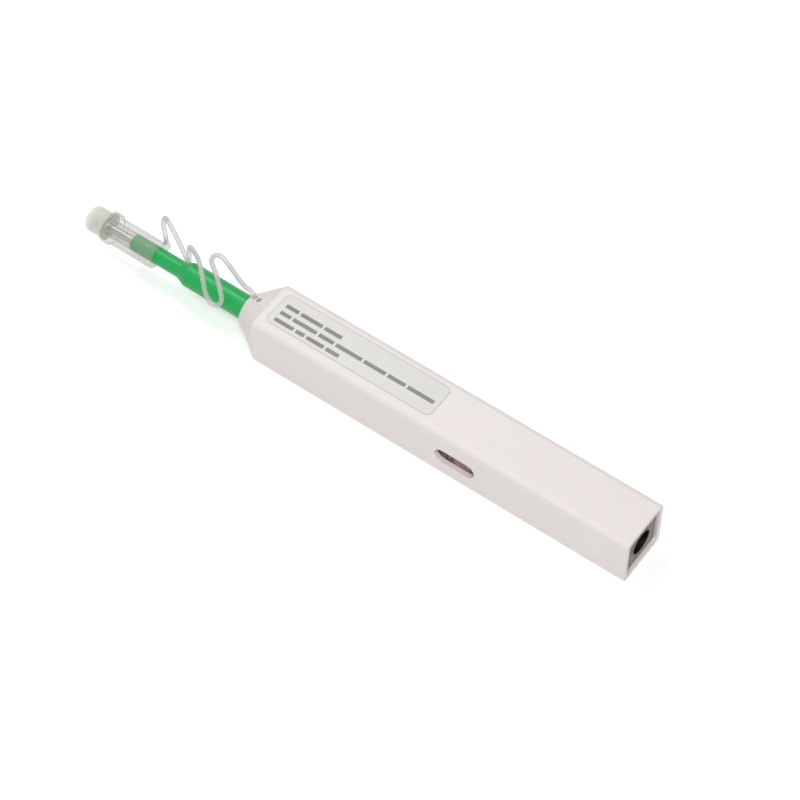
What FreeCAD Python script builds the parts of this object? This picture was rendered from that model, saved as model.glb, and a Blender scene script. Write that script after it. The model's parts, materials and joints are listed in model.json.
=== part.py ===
"""Fibre connector cleaning pen: a square push-to-clean cleaner for 2.5 mm ferrules, as one assembly.

Frame: X runs along the pen, with the nose pointing to -X. Z is up and the pen lies on z = 0.
The pen's axis is at y = 0 and z = axis_height. Lengths are millimetres, angles degrees.
"""
import FreeCAD, Part
import math
import os
import re
import Sketcher

App = FreeCAD
Vector = App.Vector

doc = App.newDocument("cleaning_pen")
sheet = doc.addObject("Spreadsheet::Sheet", "Sizes")

# ---------------------------------------------------------------- driving dimensions

SIZES = {
    # casing: a square tube with a square-to-round taper at the front
    "rear_x": 97.0,  # place of the casing's rear rim
    "axis_height": 9.0,  # pen's axis above the surface it rests on
    "body_side": 18.0,
    "body_length": 127.6,  # straight square length, rear rim to taper
    "edge_radius": 2.0,
    "rim_edge": 0.2,  # rounding of the rear rim
    "wall": 1.5,
    "inner_radius": 0.9,
    "taper_length": 8.0,
    "mouth_diameter": 10.1,
    "mouth_land": 2.4,  # length of the round bore behind the mouth
    # window over the supply reel
    "window_setback": 56.8,  # window's middle to the rear rim
    "window_length": 13.4,
    "window_height": 5.6,
    # nose
    "barrel_diameter": 7.6,
    "barrel_out": 21.6,  # barrel outside the mouth, nose out
    "cone_length": 3.2,
    "neck_diameter": 5.2,
    "neck_length": 17.7,
    "push_travel": 8.0,
    "slide_gap": 0.1,  # radial clearance of the sliding and turning fits
    "flange_diameter": 13.0,
    "flange_thick": 2.0,
    "flange_setback": 14.6,  # front of the tail flange behind the mouth, nose out
    # tip
    "tube_diameter": 2.5,
    "tube_bore": 1.9,
    "tube_out": 9.8,  # tube beyond the neck
    "tube_inside": 51.2,  # tube hidden in the nose and the rotor
    "head_out": 0.6,  # tip head beyond the tube, which is its press travel
    "head_length": 3.2,
    "head_core": 1.0,  # width left between the two thread grooves
    "head_saddle": 1.1,  # depth of the groove across the head's front
    "head_stem_diameter": 0.4,
    "head_stem_length": 3.0,
    "tip_spring_length": 6.0,
    "tip_spring_diameter": 0.7,
    "tip_spring_wire": 0.2,
    "tip_spring_turns": 10.0,
    "tip_stop_length": 1.5,
    "tip_gap": 0.05,  # radial clearance of the pieces inside the tube
    "strand_diameter": 0.3,
    "strand_spread": 1.4,  # between the middles of the strand's two runs
    "strand_gap": 0.03,
    "fine_gap": 0.03,  # radial clearance of the tube in the guide cap and the neck
    # rotor: the sleeve that turns the tip as the nose is pushed
    "rotor_diameter": 5.4,
    "rotor_front": 22.0,  # rotor ahead of its collar
    "rotor_rear": 26.6,  # rotor behind its collar
    "collar_diameter": 8.0,
    "collar_thick": 1.2,
    "collar_play": 0.15,  # along the axis, at each side of the collar
    "bore_relief": 0.7,  # nose's wide bore beyond the rotor's front end
    "nose_bore": 3.2,  # round the tube, ahead of the rotor
    "nose_edge": 0.3,
    "nose_bearing": 6.0,  # length of the close bore at the nose's front end
    "turn_angle": 180.0,  # turn of the tip over the push travel
    "groove_depth": 0.8,
    "groove_width": 1.9,  # along the axis
    "groove_over": 1.3,  # groove beyond the pin's travel, at each end
    "cam_pin_setback": 3.0,  # cam pin's axis from the rotor's rear end
    "cam_pin_diameter": 0.9,
    "cam_pin_reach": 0.6,  # pin's end inside the groove
    # carriage behind the nose, with the rack
    "carriage_thick": 3.5,
    "carriage_gap": 0.15,  # to the casing's inner walls, and of the chassis too
    "carriage_corner": 0.75,
    "rack_module": 0.5,
    "rack_teeth": 9,
    "rack_teeth_rear": 1,  # teeth behind the pinion's axis, nose out
    "rack_width": 1.6,  # body of the rack behind its teeth
    "rack_thick": 1.3,  # height of the rack and of the pinion
    "rack_end": 1.4,  # plain end of the rack behind its last tooth
    "rack_gap": 0.25,  # rack to the chassis cover
    "tooth_clearance": 0.1,  # tooth tip to the root that it faces
    "backlash": 0.08,  # taken off each tooth's width
    # return spring
    "spring_wire": 0.6,
    "spring_diameter": 7.2,  # at the wire's middle
    "spring_turns": 6.0,
    "spring_length": 13.5,  # carriage to seat wall
    "spring_play": 0.05,  # spring to each of its seats
    # chassis: the tray that carries the reels
    "floor_thick": 1.2,
    "seat_wall": 1.6,  # wall that the return spring pushes on
    "seat_gap": 0.2,  # seat wall to the rack above it
    "pin_post_length": 3.0,
    "pin_post_width": 5.0,
    "pin_post_gap": 0.3,  # post to the rotor above it
    "pin_depth": 2.4,  # cam pin's length in its post
    "rear_wall": 1.6,
    "cover_thick": 1.1,
    "cover_front": 4.0,  # cover ahead of its front screw
    "guard_wall": 0.5,
    "guard_gap": 0.3,
    "guard_slot": 5.3,  # opening behind the casing's window
    "thread_slot": 3.0,  # opening that the thread leaves by
    "boss_diameter": 6.0,
    "boss_length": 6.0,
    "pillar_diameter": 3.2,
    "screw_diameter": 1.4,
    "screw_length": 6.0,
    "screw_head_diameter": 2.6,
    "screw_head_height": 0.7,
    "screw_slot": 0.4,
    "screw_x": 66.0,  # middle of the four cover screws
    "screw_pitch_x": 26.0,
    "screw_pitch_y": 10.6,
    "front_screw_x": 12.0,
    "front_screw_y": -5.4,
    "screw_gap": 0.02,
    # reels
    "reel_gap": 0.25,  # reel to the floor below it
    "reel_head_gap": 0.4,  # reel's upper flange to the rack above it
    "flange_plate": 0.7,
    "hub_diameter": 4.6,
    "axle_diameter": 2.0,
    "axle_gap": 0.05,
    "takeup_setback": 73.0,  # take-up reel's axis to the rear rim
    "supply_wound": 12.4,  # diameter of the thread on the supply reel
    "takeup_wound": 8.4,
    "wound_gap": 0.02,
    "washer_diameter": 5.0,
    "washer_thick": 0.5,
    "ratchet_teeth": 24,
    "ratchet_depth": 0.45,
    "leaf_thick": 0.2,
    "leaf_length": 9.0,
    "leaf_height": 2.6,
    "leaf_gap": 0.12,
    "leaf_tip": 2.0,  # leaf's end beyond the reel's axis
    "leaf_post": 2.0,
    # pinion on the take-up axle
    "pinion_teeth": 20,
    # rear plate and its screw
    "plate_recess": 1.0,
    "plate_thick": 2.0,
    "plate_gap": 0.08,
    "plate_corner": 0.8,
    "well_diameter": 7.8,
    "well_rim": 0.25,  # raised ring round the well
    "well_rim_width": 0.5,
    "well_depth": 5.0,
    "well_wall": 1.1,
    "end_screw_diameter": 2.2,
    "end_screw_head": 5.0,
    "end_screw_head_height": 1.8,
    "end_screw_length": 6.0,
    "end_screw_slot": 0.8,
    "end_screw_slot_depth": 0.7,
    # guide cap and its lid
    "cap_setback": 33.7,  # cap's open rim in front of the mouth
    "cap_diameter": 8.6,
    "cap_length": 18.1,
    "cap_gap": 0.05,
    "cap_chamber": 19.6,  # depth of the wide bore from the rim
    "cap_edge": 0.35,
    "cap_root": 0.7,  # how far the tab and hinge reach into the sleeve
    "cap_flange_diameter": 9.7,
    "cap_flange_thick": 1.9,
    "ferrule_diameter": 2.5,
    "nozzle_length": 4.8,
    "nozzle_base": 7.0,
    "nozzle_shoulder": 6.6,
    "nozzle_shoulder_out": 1.6,
    "nozzle_tip": 4.0,
    "lid_length": 6.6,
    "lid_diameter": 8.5,
    "lid_end_diameter": 8.1,
    "lid_edge": 1.1,
    "lid_bore": 7.4,
    "lid_end_wall": 1.5,
    "lid_gap": 0.05,
    "lid_hinge_width": 3.0,
    "lid_knuckle": 1.8,
    "lid_root": 0.2,  # lid bore's wall to the knuckle
    "lid_bead": 0.7,  # round bead on the hinge's axis
    "tab_length": 1.9,
    "tab_reach": 1.6,
    "tab_height": 2.4,
    # label
    "label_length": 57.5,
    "label_width": 11.6,
    "label_setback": 68.0,  # label's rear edge to the rear rim
    "label_offset": 0.4,
    "label_thick": 0.1,
    "label_corner": 2.0,
    "print_thick": 0.03,
    "print_height": 1.3,
    "print_pitch": 2.8,
    "print_margin": 2.2,  # words to the label's front edge
    "print_offset": -1.03,  # middle row, from the label's middle
    "print_letter": 0.75,
    "print_gap": 0.8,  # between two words
    # strap
    "strap_diameter": 1.4,
    "anchor_hole": 1.6,
    "anchor_setback": 1.6,  # first hole's middle behind the mouth
    "anchor_offset": 1.2,  # first hole's middle beside the pen's axis
    "anchor_height": 4.6,  # holes' floor above the pen's axis
    "anchor_pitch": 2.0,
    "anchor_shift": -0.7,  # second hole beside the first
}

for row, (alias, value) in enumerate(SIZES.items(), 1):
    sheet.set(f"A{row}", str(value))
    sheet.setAlias(f"A{row}", alias)
doc.recompute()


# ---------------------------------------------------------------- makers

WORD = re.compile(r"[a-z_]+")


def bound(expression):
    """The expression with each size led by the sheet's name, for setExpression."""
    return WORD.sub(lambda m: ("Sizes." if m.group() in SIZES else "") + m.group(), expression)


def number(expression):
    """What the expression comes to now."""
    return float(sheet.evalExpression(expression))


def drive(thing, **properties):
    """Binds properties of an object to expressions of the sizes."""
    for name, expression in properties.items():
        thing.setExpression(name, bound(expression))
    return thing


def place(thing, x="0", y="0", z="0", turn=None):
    """Puts an object at a bound place, turned by a rotation."""
    thing.Placement = App.Placement(Vector(), turn or App.Rotation())
    for axis, expression in zip("xyz", (x, y, z)):
        if expression != "0":
            thing.setExpression(f"Placement.Base.{axis}", bound(expression))
    return thing


def box(name, x, y, z):
    """A block between bound limits, each a pair of low and high."""
    block = doc.addObject("Part::Box", name)
    drive(block, Length=f"({x[1]}) - ({x[0]})", Width=f"({y[1]}) - ({y[0]})", Height=f"({z[1]}) - ({z[0]})")
    return place(block, x[0], y[0], z[0])


ALONG = {
    "x": App.Rotation(Vector(0, 1, 0), 90),
    "y": App.Rotation(Vector(1, 0, 0), -90),
    "z": App.Rotation(),
}


def rod(name, axis, start, end, diameter, centre):
    """A cylinder along an axis from start to end; centre is its place across, in X, Y, Z order."""
    bar = doc.addObject("Part::Cylinder", name)
    drive(bar, Radius=f"({diameter}) / 2", Height=f"({end}) - ({start})")
    base = list(centre)
    base.insert("xyz".index(axis), start)
    return place(bar, *base, turn=ALONG[axis])


def joined(name, *things):
    """The union of several objects."""
    union = doc.addObject("Part::MultiFuse", name)
    union.Shapes = list(things)
    return union


def cut(name, base, *tools):
    """The base without the tools."""
    less = doc.addObject("Part::Cut", name)
    less.Base = base
    less.Tool = tools[0] if len(tools) == 1 else joined(name + "_tools", *tools)
    return less


def sketch(body, plane, name, offset="0"):
    """A sketch on one of the body's own origin planes, moved along the plane's normal."""
    made = body.newObject("Sketcher::SketchObject", name)
    datum = next(f for f in body.Origin.OriginFeatures if f.Role == plane)
    made.AttachmentSupport = [(datum, "")]
    made.MapMode = "FlatFace"
    if offset != "0":
        made.setExpression("AttachmentOffset.Base.z", bound(offset))
    return made


def pin(drawing, line, end, x, y):
    """Holds one end of a line at bound coordinates of the sketch."""
    for kind, expression, axis in (("DistanceX", x, -2), ("DistanceY", y, -1)):
        if expression == "0":
            drawing.addConstraint(Sketcher.Constraint("PointOnObject", line, end, axis))
        else:
            rule = Sketcher.Constraint(kind, -1, 1, line, end, number(expression))
            size = drawing.addConstraint(rule)
            drawing.setExpression(f"Constraints[{size}]", bound(expression))


def polygon(drawing, points):
    """A closed outline through bound points."""
    places = [Vector(number(x), number(y), 0) for x, y in points]
    for start, end in zip(places, places[1:] + places[:1]):
        drawing.addGeometry(Part.LineSegment(start, end), False)
    for line, (x, y) in enumerate(points):
        before = (line - 1) % len(points)
        drawing.addConstraint(Sketcher.Constraint("Coincident", before, 2, line, 1))
        pin(drawing, line, 1, x, y)


def circle(drawing, diameter):
    """A circle about the sketch's origin."""
    ring = drawing.addGeometry(Part.Circle(Vector(), Vector(0, 0, 1), number(diameter) / 2), False)
    drawing.addConstraint(Sketcher.Constraint("Coincident", ring, 3, -1, 1))
    size = drawing.addConstraint(Sketcher.Constraint("Diameter", ring, number(diameter)))
    drawing.setExpression(f"Constraints[{size}]", bound(diameter))


def rounded(drawing, half_x, half_y, radius, x="0", y="0"):
    """A rectangle with round corners: half sizes, corner radius and middle."""
    right, top = f"({x} + ({half_x}))", f"({y} + ({half_y}))"
    left, bottom = f"({x} - ({half_x}))", f"({y} - ({half_y}))"
    lines = [
        ((f"{left} + {radius}", bottom), (f"{right} - {radius}", bottom)),
        ((right, f"{bottom} + {radius}"), (right, f"{top} - {radius}")),
        ((f"{right} - {radius}", top), (f"{left} + {radius}", top)),
        ((left, f"{top} - {radius}"), (left, f"{bottom} + {radius}")),
    ]
    ends = [[Vector(number(u), number(v), 0) for u, v in line] for line in lines]
    for start, end in ends:
        drawing.addGeometry(Part.LineSegment(start, end), False)
    for corner in range(4):
        start, end = ends[corner][1], ends[(corner + 1) % 4][0]
        across = Vector(end.x, start.y, 0) if corner % 2 == 0 else Vector(start.x, end.y, 0)
        middle = start + end - across
        swell = (across - middle) * (number(radius) / (across - middle).Length)
        drawing.addGeometry(Part.Arc(start, middle + swell, end), False)
    for line, (start, end) in enumerate(lines):
        pin(drawing, line, 1, *start)
        pin(drawing, line, 2, *end)
        drawing.addConstraint(Sketcher.Constraint("Coincident", line, 2, line + 4, 1))
        drawing.addConstraint(Sketcher.Constraint("Coincident", line + 4, 2, (line + 1) % 4, 1))
        size = drawing.addConstraint(Sketcher.Constraint("Radius", line + 4, number(radius)))
        drawing.setExpression(f"Constraints[{size}]", bound(radius))


def turned(name, profile, axis="H_Axis"):
    """A body turned from a profile of (along, radius) about X, or (radius, height) about Z."""
    body = doc.addObject("PartDesign::Body", name)
    drawing = sketch(body, "XY_Plane" if axis == "H_Axis" else "XZ_Plane", name + "_profile")
    polygon(drawing, profile)
    doc.recompute()
    solid = body.newObject("PartDesign::Revolution", name + "_turn")
    solid.Profile = drawing
    solid.ReferenceAxis = (drawing, [axis])
    solid.Angle = 360
    body.Tip = solid
    return body


def coil(name, diameter, wire, pitch, height):
    """A wire coil about local Z, starting at z = wire / 2."""
    body = doc.addObject("PartDesign::Body", name)
    drawing = sketch(body, "XZ_Plane", name + "_wire")
    middle = Vector(number(diameter) / 2, number(wire) / 2, 0)
    ring = drawing.addGeometry(Part.Circle(middle, Vector(0, 0, 1), number(wire) / 2), False)
    pin(drawing, ring, 3, f"{diameter} / 2", f"{wire} / 2")
    size = drawing.addConstraint(Sketcher.Constraint("Diameter", ring, number(wire)))
    drawing.setExpression(f"Constraints[{size}]", bound(wire))
    doc.recompute()
    helix = body.newObject("PartDesign::AdditiveHelix", name + "_helix")
    helix.Profile = drawing
    helix.ReferenceAxis = (drawing, ["V_Axis"])
    helix.Mode = 0
    drive(helix, Pitch=pitch, Height=height)
    body.Tip = helix
    return body


def rounded_route(points):
    """Straight runs joined by tangent arcs, each as large as its two runs allow, and the arcs' radii."""
    edges, radii = [], []
    start = points[0]
    for before, corner, after in zip(points, points[1:], points[2:]):
        back, ahead = before - corner, after - corner
        half_turn = (math.pi - back.getAngle(ahead)) / 2
        reach = 0.45 * min(back.Length, ahead.Length)
        back.normalize()
        ahead.normalize()
        entry, leave = corner + back * reach, corner + ahead * reach
        radius = reach / math.tan(half_turn)
        middle = corner + (back + ahead).normalize() * (radius / math.cos(half_turn) - radius)
        edges += [Part.LineSegment(start, entry), Part.Arc(entry, middle, leave)]
        radii.append(radius)
        start = leave
    edges.append(Part.LineSegment(start, points[-1]))
    return Part.Wire([edge.toShape() for edge in edges]), radii


def cord(name, points, diameter):
    """A round cord along a rounded route, as a solid."""
    route, radii = rounded_route(points)
    first = points[1] - points[0]
    section = Part.Wire([Part.Circle(points[0], first, number(diameter) / 2).toShape()])
    solid = route.makePipeShell([section], True, False)
    made = doc.addObject("Part::Feature", name)
    made.Shape = solid
    expected = math.pi * (number(diameter) / 2) ** 2 * route.Length
    print(f"{name}: length {route.Length:.1f} mm, bend radii", " ".join(f"{r:.1f}" for r in radii))
    print(f"{name}: volume {solid.Volume:.3f}, section times length {expected:.3f}")
    return made


PARTS = []


def finished(name, thing):
    """Names an object as one of the pen's pieces."""
    thing.Label = name
    PARTS.append(thing)
    return thing


# ---------------------------------------------------------------- places that pieces share

TAPER = "(rear_x - body_length)"
MOUTH = f"({TAPER} - taper_length)"
FLANGE_FRONT = f"({MOUTH} + flange_setback)"
TAIL = f"({FLANGE_FRONT} + flange_thick)"
CARRIAGE_REAR = f"({TAIL} + carriage_thick)"
SEAT = f"({CARRIAGE_REAR} + spring_length)"
BARREL_END = f"({MOUTH} - barrel_out)"
NECK_START = f"({BARREL_END} - cone_length)"
NECK_END = f"({NECK_START} - neck_length)"
TUBE_FRONT = f"({NECK_END} - tube_out)"
TUBE_REAR = f"({NECK_END} + tube_inside)"
HEAD_FRONT = f"({TUBE_FRONT} - head_out)"
HEAD_REAR = f"({HEAD_FRONT} + head_length)"
STOP_FRONT = f"({HEAD_REAR} + tip_spring_length)"
COLLAR_FRONT = f"({TAIL} + collar_play)"
COLLAR_REAR = f"({COLLAR_FRONT} + collar_thick)"
ROTOR_FRONT = f"({COLLAR_FRONT} - rotor_front)"
ROTOR_REAR = f"({COLLAR_REAR} + rotor_rear)"
CAM_PIN_X = f"({ROTOR_REAR} - cam_pin_setback)"
PIN_TOP = "(axis_height - rotor_diameter / 2 - pin_post_gap)"
PLATE_REAR = "(rear_x - plate_recess)"
PLATE_FRONT = f"({PLATE_REAR} - plate_thick)"
WELL_FLOOR = f"({PLATE_REAR} - well_depth)"
CHASSIS_REAR = f"({WELL_FLOOR} - well_wall)"
CAP_RIM = f"({MOUTH} - cap_setback)"
CAP_FACE = f"({CAP_RIM} - cap_length)"
CHAMBER_END = f"({CAP_RIM} - cap_chamber)"
NOZZLE_END = f"({CAP_FACE} - nozzle_length)"
LID_FACE = f"({CAP_FACE} - lid_gap)"
LID_END = f"({CAP_FACE} - lid_length)"
HINGE_SIDE = "(cap_flange_diameter / 2 + lid_gap)"
HINGE_SPAN = ("axis_height - lid_hinge_width / 2", "axis_height + lid_hinge_width / 2")
SUPPLY_X = "(rear_x - window_setback)"
TAKEUP_X = "(rear_x - takeup_setback)"

INNER = "(body_side / 2 - wall)"
TRAY = f"({INNER} - carriage_gap)"
TOP = "(axis_height + body_side / 2)"
FLOOR_BOTTOM = f"(axis_height - {TRAY})"
FLOOR_TOP = f"({FLOOR_BOTTOM} + floor_thick)"
COVER_TOP = f"(axis_height + {TRAY})"
COVER_BOTTOM = f"({COVER_TOP} - cover_thick)"
RACK_TOP = f"({COVER_BOTTOM} - rack_gap)"
RACK_BOTTOM = f"({RACK_TOP} - rack_thick)"
REEL_BOTTOM = f"({FLOOR_TOP} + reel_gap)"
REEL_TOP = f"({RACK_BOTTOM} - reel_head_gap)"
REEL_RADIUS = f"({TRAY} - guard_wall - guard_gap)"
PITCH_RADIUS = "(rack_module * pinion_teeth / 2)"
TOOTH_PITCH = "(rack_module * pi)"
RACK_ROOT = f"({PITCH_RADIUS} + rack_module + tooth_clearance)"
ACROSS_TRAY = (f"-{TRAY}", TRAY)
BARREL_BORE = "(barrel_diameter + 2 * slide_gap)"
ROTOR_BORE = "(rotor_diameter + 2 * slide_gap)"
SCREWS = [
    (f"(screw_x {side_x} screw_pitch_x / 2)", f"({side_y} screw_pitch_y / 2)")
    for side_x in "-+"
    for side_y in "-+"
] + [("front_screw_x", "front_screw_y")]


# ---------------------------------------------------------------- casing

def square_section(body, name, half, radius, x):
    """A rounded square about the pen's axis, in the plane at x."""
    drawing = sketch(body, "YZ_Plane", name, x)
    rounded(drawing, half, half, radius)
    return drawing


def round_section(body, name, diameter, x):
    """A circle about the pen's axis, in the plane at x."""
    drawing = sketch(body, "YZ_Plane", name, x)
    circle(drawing, diameter)
    return drawing


def fillet(body, name, radius, where):
    """Rounds the edges of the body's last feature that the test picks."""
    doc.recompute()
    base = body.Tip
    edges = [f"Edge{i}" for i, edge in enumerate(base.Shape.Edges, 1) if where(edge)]
    made = body.newObject("PartDesign::Fillet", name)
    made.Base = (base, edges)
    drive(made, Radius=radius)
    body.Tip = made
    return body


def flat_at(expression):
    """A test for edges that lie wholly in the plane at x."""
    place_x = number(expression)
    return lambda edge: max(abs(edge.BoundBox.XMin - place_x), abs(edge.BoundBox.XMax - place_x)) < 1e-4


def make_casing():
    """Square tube with a taper that ends in a round mouth; window and strap holes cut in its walls."""
    body = doc.addObject("PartDesign::Body", "casing_shell")
    outer = square_section(body, "casing_outer", "body_side / 2", "edge_radius", TAPER)
    mouth = round_section(body, "casing_mouth", "mouth_diameter", MOUTH)
    doc.recompute()
    tube = body.newObject("PartDesign::Pad", "casing_tube")
    tube.Profile = outer
    drive(tube, Length="body_length")
    doc.recompute()
    nose = body.newObject("PartDesign::AdditiveLoft", "casing_taper")
    nose.Profile = outer
    nose.Sections = [mouth]
    inner = square_section(body, "casing_inner", INNER, "inner_radius", "rear_x")
    doc.recompute()
    hollow = body.newObject("PartDesign::Pocket", "casing_hollow")
    hollow.Profile = inner
    drive(hollow, Length="body_length")
    start = square_section(body, "casing_taper_start", INNER, "inner_radius", TAPER)
    land = round_section(body, "casing_land", BARREL_BORE, f"{MOUTH} + mouth_land")
    doc.recompute()
    inside = body.newObject("PartDesign::SubtractiveLoft", "casing_taper_hollow")
    inside.Profile = start
    inside.Sections = [land]
    body.Tip = inside
    fillet(body, "casing_rim", "rim_edge", flat_at("rear_x"))
    place(body, z="axis_height")

    bore = rod("casing_bore", "x", MOUTH, f"{MOUTH} + mouth_land", BARREL_BORE, ("0", "axis_height"))
    depth = ("-body_side / 2", f"-{INNER}")
    ends = "(window_length - window_height) / 2"
    window = [
        box(
            "window_middle",
            (f"{SUPPLY_X} - {ends}", f"{SUPPLY_X} + {ends}"),
            depth,
            ("axis_height - window_height / 2", "axis_height + window_height / 2"),
        )
    ]
    for name, side in (("window_front", "-"), ("window_rear", "+")):
        middle = (f"{SUPPLY_X} {side} {ends}", "axis_height")
        window.append(rod(name, "y", *depth, "window_height", middle))
    holes = []
    for number_of, steps in (("first", 0), ("second", 1)):
        middle = (
            f"{MOUTH} + anchor_setback + {steps} * anchor_pitch",
            f"anchor_offset + {steps} * anchor_shift",
        )
        floor = "axis_height + anchor_height"
        holes.append(rod(f"anchor_{number_of}", "z", floor, TOP, "anchor_hole", middle))
    return finished("casing", cut("casing_cut", body, bore, *window, *holes))


def make_label():
    """A thin label on the casing's top, with word-like bars in three rows."""
    body = doc.addObject("PartDesign::Body", "label_sheet")
    drawing = sketch(body, "XY_Plane", "label_outline", TOP)
    middle = "rear_x - label_setback - label_length / 2"
    rounded(drawing, "label_length / 2", "label_width / 2", "label_corner", middle, "label_offset")
    doc.recompute()
    film = body.newObject("PartDesign::Pad", "label_film")
    film.Profile = drawing
    drive(film, Length="label_thick")
    body.Tip = film
    finished("label", body)

    rows = (
        (1, (6, 10, 8)),
        (0, (5, 11, 7, 12, 10, 8, 12)),
        (-1, (9, 4, 8, 6)),
    )
    bars = []
    front = "rear_x - label_setback - label_length + print_margin"
    for row, words in rows:
        before = 0
        low = f"label_offset + print_offset - print_height / 2 + {row} * print_pitch"
        for count, letters in enumerate(words):
            start = f"{front} + {before} * print_letter + {count} * print_gap"
            bars.append(
                box(
                    f"word_{row + 1}_{count}",
                    (start, f"{start} + {letters} * print_letter"),
                    (low, f"{low} + print_height"),
                    (f"{TOP} + label_thick", f"{TOP} + label_thick + print_thick"),
                )
            )
            before += letters
    return finished("label_print", joined("label_words", *bars))


def make_rear_end():
    """The dark plate that closes the rear, with its well, and the screw at the well's floor."""
    axis = ("0", "axis_height")
    body = doc.addObject("PartDesign::Body", "end_plate_square")
    outline = square_section(body, "end_plate_outline", f"{INNER} - plate_gap", "plate_corner", PLATE_FRONT)
    doc.recompute()
    plate = body.newObject("PartDesign::Pad", "end_plate_pad")
    plate.Profile = outline
    drive(plate, Length="plate_thick")
    body.Tip = plate
    fillet(body, "end_plate_edge", "rim_edge", flat_at(PLATE_REAR))
    place(body, z="axis_height")
    cup = rod("well_cup", "x", CHASSIS_REAR, PLATE_FRONT, "well_diameter + 2 * well_wall", axis)
    ring_diameter = "well_diameter + 2 * well_rim_width"
    ring = rod("well_ring", "x", PLATE_REAR, f"{PLATE_REAR} + well_rim", ring_diameter, axis)
    well = rod("well", "x", WELL_FLOOR, f"{PLATE_REAR} + well_rim", "well_diameter", axis)
    hole = rod("well_hole", "x", CHASSIS_REAR, WELL_FLOOR, "end_screw_diameter + 2 * screw_gap", axis)
    finished("end_plate", cut("end_plate_cut", joined("end_plate_solid", body, cup, ring), well, hole))

    head_end = f"{WELL_FLOOR} + end_screw_head_height"
    head = rod("end_screw_top", "x", WELL_FLOOR, head_end, "end_screw_head", axis)
    end = f"{WELL_FLOOR} - end_screw_length"
    shank = rod("end_screw_shank", "x", end, WELL_FLOOR, "end_screw_diameter", axis)
    slot = box(
        "end_screw_slot_cut",
        (f"{head_end} - end_screw_slot_depth", head_end),
        ("-end_screw_head / 2", "end_screw_head / 2"),
        ("axis_height - end_screw_slot / 2", "axis_height + end_screw_slot / 2"),
    )
    return finished("end_screw", cut("end_screw_cut", joined("end_screw_solid", head, shank), slot))


# ---------------------------------------------------------------- chassis and reels

def within_tray(name, solid):
    """What of a solid lies in the casing's rounded square room, so that its long edges are round."""
    body = doc.addObject("PartDesign::Body", name + "_room")
    outline = square_section(body, name + "_outline", TRAY, "inner_radius", SEAT)
    doc.recompute()
    prism = body.newObject("PartDesign::Pad", name + "_prism")
    prism.Profile = outline
    drive(prism, Length=f"{CHASSIS_REAR} - {SEAT}")
    body.Tip = prism
    place(body, z="axis_height")
    kept = doc.addObject("Part::Common", name)
    kept.Base = solid
    kept.Tool = body
    return kept


def make_chassis():
    """The tray in the casing: floor, spring seat, cam pin's post, reel guard, pillars and rear wall."""
    axis = ("0", "axis_height")
    floor = box("chassis_floor", (SEAT, CHASSIS_REAR), ACROSS_TRAY, (FLOOR_BOTTOM, FLOOR_TOP))
    seat_top = f"{RACK_BOTTOM} - seat_gap"
    seat = box("chassis_seat", (SEAT, f"{SEAT} + seat_wall"), ACROSS_TRAY, (FLOOR_TOP, seat_top))
    rear_face = (f"{CHASSIS_REAR} - rear_wall", CHASSIS_REAR)
    rear = box("chassis_rear", rear_face, ACROSS_TRAY, (FLOOR_TOP, COVER_BOTTOM))
    boss = rod("chassis_boss", "x", f"{CHASSIS_REAR} - boss_length", CHASSIS_REAR, "boss_diameter", axis)
    post = box(
        "chassis_post",
        (f"{CAM_PIN_X} - pin_post_length / 2", f"{CAM_PIN_X} + pin_post_length / 2"),
        ("-pin_post_width / 2", "pin_post_width / 2"),
        (FLOOR_TOP, PIN_TOP),
    )
    leaf_end = f"{TAKEUP_X} - leaf_tip + leaf_length"
    leaf_side = f"{REEL_RADIUS} + leaf_gap + leaf_thick"
    anchor = box(
        "chassis_leaf_post",
        (f"{leaf_end} - leaf_post", leaf_end),
        (f"-{TRAY}", f"-({leaf_side})"),
        (FLOOR_TOP, f"{FLOOR_TOP} + leaf_height"),
    )
    guard_top = f"{REEL_TOP} - flange_plate"
    supply = (SUPPLY_X, "0")
    guard = cut(
        "chassis_guard",
        rod("guard_outer", "z", FLOOR_TOP, guard_top, f"2 * {TRAY}", supply),
        rod("guard_inner", "z", FLOOR_TOP, guard_top, f"2 * ({TRAY} - guard_wall)", supply),
        box(
            "guard_window",
            (f"{SUPPLY_X} - guard_slot / 2", f"{SUPPLY_X} + guard_slot / 2"),
            (f"-{TRAY}", "0"),
            (FLOOR_TOP, guard_top),
        ),
        box(
            "guard_exit",
            (f"{SUPPLY_X} - {TRAY}", SUPPLY_X),
            ("-thread_slot / 2", "thread_slot / 2"),
            (FLOOR_TOP, guard_top),
        ),
    )
    solids = [floor, seat, rear, boss, post, anchor, guard]
    tools = [
        rod("seat_bore", "x", SEAT, f"{SEAT} + seat_wall", ROTOR_BORE, axis),
        rod(
            "boss_bore",
            "x",
            f"{CHASSIS_REAR} - boss_length",
            CHASSIS_REAR,
            "end_screw_diameter + 2 * screw_gap",
            axis,
        ),
        rod("post_bore", "z", f"{PIN_TOP} - pin_depth", PIN_TOP, "cam_pin_diameter", (CAM_PIN_X, "0")),
    ]
    for count, middle in enumerate(SCREWS, 1):
        solids.append(rod(f"pillar_{count}", "z", FLOOR_TOP, COVER_BOTTOM, "pillar_diameter", middle))
        low = f"{COVER_TOP} - screw_head_height - screw_length"
        bore = "screw_diameter + 2 * screw_gap"
        tools.append(rod(f"pillar_bore_{count}", "z", low, COVER_BOTTOM, bore, middle))
    for name, x in (("supply", SUPPLY_X), ("takeup", TAKEUP_X)):
        tools.append(rod(f"{name}_foot", "z", FLOOR_BOTTOM, FLOOR_TOP, "axle_diameter", (x, "0")))
    solid = cut("chassis_cut", joined("chassis_solid", *solids), *tools)
    return finished("chassis", within_tray("chassis_rounded", solid))


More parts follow.
